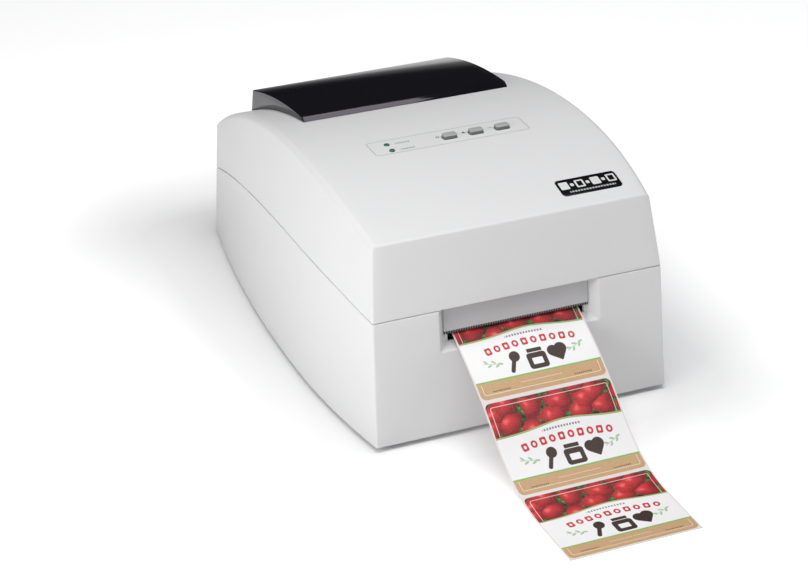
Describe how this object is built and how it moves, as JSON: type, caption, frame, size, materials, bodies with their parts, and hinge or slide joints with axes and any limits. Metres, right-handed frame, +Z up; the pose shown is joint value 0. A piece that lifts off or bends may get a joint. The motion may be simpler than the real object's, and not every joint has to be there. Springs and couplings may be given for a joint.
{
  "type": "desktop colour label printer",
  "caption": "Desktop colour label printer: bowed white shell, hinged cover with smoked roll window, control buttons, cutter and a strip of printed labels from the front slot.",
  "frame": {"origin": "centre of the footprint of printer and label strip, on the table", "axes": "+Z up, the printer faces -Y, +X to its right as seen from the front"},
  "size_m": [0.264, 0.5762, 0.178],
  "materials": {
    "white_plastic": "fine satin texture",
    "smoked_plastic": "gloss",
    "button_plastic": "satin",
    "lamp_green": "gloss",
    "badge_black": "gloss",
    "grey_plastic": "satin",
    "dark_plastic": "satin",
    "guide_plastic": "satin",
    "steel_sheet": "zinc plated",
    "polished_steel": "ground",
    "tool_steel": "ground",
    "screw_steel": "black zinc",
    "brass": "turned",
    "motor_can": "satin",
    "foot_rubber": "matte",
    "feed_rubber": "matte",
    "gear_plastic": "satin",
    "board_green": "solder mask",
    "inlet_black": "satin",
    "clear_film": "gloss",
    "liner_paper": "paper",
    "label_paper": "coated paper",
    "card": "card"
  },
  "bodies": {
    "base": {"lower_housing": "white_plastic", "base_pan": "steel_sheet", "rubber_feet": "foot_rubber", "base_screws": "screw_steel", "exit_panel": "grey_plastic", "left_side_plate": "steel_sheet", "right_side_plate": "steel_sheet", "rear_crossbar": "steel_sheet", "carriage_rod": "polished_steel", "carriage_rail": "steel_sheet", "encoder_strip": "clear_film", "platen": "dark_plastic", "exit_guide": "dark_plastic", "cutter_bed": "tool_steel", "blade_guides": "dark_plastic", "cutter_motor": "motor_can", "web_tray": "guide_plastic", "label_sensor": "dark_plastic", "pinch_holder": "dark_plastic", "feed_bushes": "brass", "feed_motor": "motor_can", "carriage_motor": "motor_can", "timing_belt": "foot_rubber", "capping_station": "dark_plastic", "main_board": "board_green", "dc_inlet": "inlet_black", "usb_socket": "steel_sheet", "fixed_roll_guide": "guide_plastic", "guide_rail": "steel_sheet", "base_hinge_leaves": "steel_sheet", "hinge_pins": "polished_steel", "label_web": "liner_paper", "blank_labels": "label_paper", "printed_strip": "liner_paper", "printed_labels": "label_paper"},
    "cover": {"top_cover": "white_plastic", "window": "smoked_plastic", "panel_overlay": "white_plastic", "lamp_lenses": "lamp_green", "badge_plate": "badge_black", "button_board": "board_green", "button_board_screws": "screw_steel", "cover_hinge_leaves": "steel_sheet"},
    "pause_button": {"pause_button": "button_plastic"},
    "feed_button": {"feed_button": "button_plastic"},
    "cut_button": {"cut_button": "button_plastic"},
    "carriage": {"carriage": "dark_plastic", "carriage_bushes": "brass"},
    "ink_cartridge": {"ink_cartridge": "inlet_black"},
    "drive_pulley": {"drive_pulley": "tool_steel"},
    "idler_pulley": {"idler_pulley": "dark_plastic"},
    "feed_roller": {"feed_roller": "feed_rubber", "feed_gear": "gear_plastic"},
    "feed_pinion": {"feed_pinion": "brass"},
    "pinch_rollers": {"pinch_rollers": "feed_rubber"},
    "label_roll": {"label_roll": "label_paper", "roll_core": "card"},
    "sliding_roll_guide": {"sliding_roll_guide": "guide_plastic"},
    "cutter_blade": {"cutter_blade": "tool_steel"},
    "cutter_pinion": {"cutter_pinion": "brass"}
  },
  "joints": [
    {"name": "cover_hinge", "type": "hinge", "parent": "base", "child": "cover", "pos_m": [0, 0.28464, 0.061], "axis": [-1, 0, 0], "range_deg": [0, 80]},
    {"name": "pause_press", "type": "slide", "parent": "cover", "child": "pause_button", "axis": [0, 0, -1], "range_m": [0, 0.0012], "stiffness_N_per_m": 600},
    {"name": "feed_press", "type": "slide", "parent": "cover", "child": "feed_button", "axis": [0, 0, -1], "range_m": [0, 0.0012], "stiffness_N_per_m": 600},
    {"name": "cut_press", "type": "slide", "parent": "cover", "child": "cut_button", "axis": [0, 0, -1], "range_m": [0, 0.0012], "stiffness_N_per_m": 600},
    {"name": "carriage_slide", "type": "slide", "parent": "base", "child": "carriage", "axis": [1, 0, 0], "range_m": [-0.13, 0.004]},
    {"name": "cartridge_lift", "type": "slide", "parent": "carriage", "child": "ink_cartridge", "axis": [0, 0, 1], "range_m": [0, 0.02]},
    {"name": "drive_pulley_spin", "type": "hinge", "parent": "base", "child": "drive_pulley", "pos_m": [0.095, 0.00994, 0.112], "axis": [0, 1, 0], "range_deg": [-40, 1140]},
    {"name": "idler_pulley_spin", "type": "hinge", "parent": "base", "child": "idler_pulley", "pos_m": [-0.095, 0.00994, 0.112], "axis": [0, 1, 0], "range_deg": [-40, 1140]},
    {"name": "roll_spin", "type": "hinge", "parent": "base", "child": "label_roll", "pos_m": [0, 0.17494, 0.0979], "axis": [1, 0, 0], "continuous": true},
    {"name": "feed_spin", "type": "hinge", "parent": "base", "child": "feed_roller", "pos_m": [0, 0.00494, 0.07775], "axis": [1, 0, 0], "continuous": true},
    {"name": "feed_pinion_spin", "type": "hinge", "parent": "base", "child": "feed_pinion", "pos_m": [-0.1, -0.00864, 0.06417], "axis": [1, 0, 0], "continuous": true},
    {"name": "pinch_spin", "type": "hinge", "parent": "base", "child": "pinch_rollers", "pos_m": [0, 0.00494, 0.0919], "axis": [1, 0, 0], "continuous": true},
    {"name": "guide_slide", "type": "slide", "parent": "base", "child": "sliding_roll_guide", "axis": [1, 0, 0], "range_m": [0, 0.012]},
    {"name": "blade_drop", "type": "slide", "parent": "base", "child": "cutter_blade", "axis": [0, 0, -1], "range_m": [0, 0.008]},
    {"name": "cutter_pinion_spin", "type": "hinge", "parent": "base", "child": "cutter_pinion", "pos_m": [-0.0708, -0.07706, 0.088], "axis": [0, 1, 0], "range_deg": [-2, 97]}
  ],
  "couplings": [
    {"joint": "drive_pulley_spin", "follows": "carriage_slide", "rad_per_m": -151.52},
    {"joint": "idler_pulley_spin", "follows": "carriage_slide", "rad_per_m": -151.52},
    {"joint": "feed_spin", "follows": "roll_spin", "ratio": -7},
    {"joint": "feed_pinion_spin", "follows": "roll_spin", "ratio": 21},
    {"joint": "pinch_spin", "follows": "roll_spin", "ratio": 11.2},
    {"joint": "cutter_pinion_spin", "follows": "blade_drop", "rad_per_m": 208.33}
  ]
}
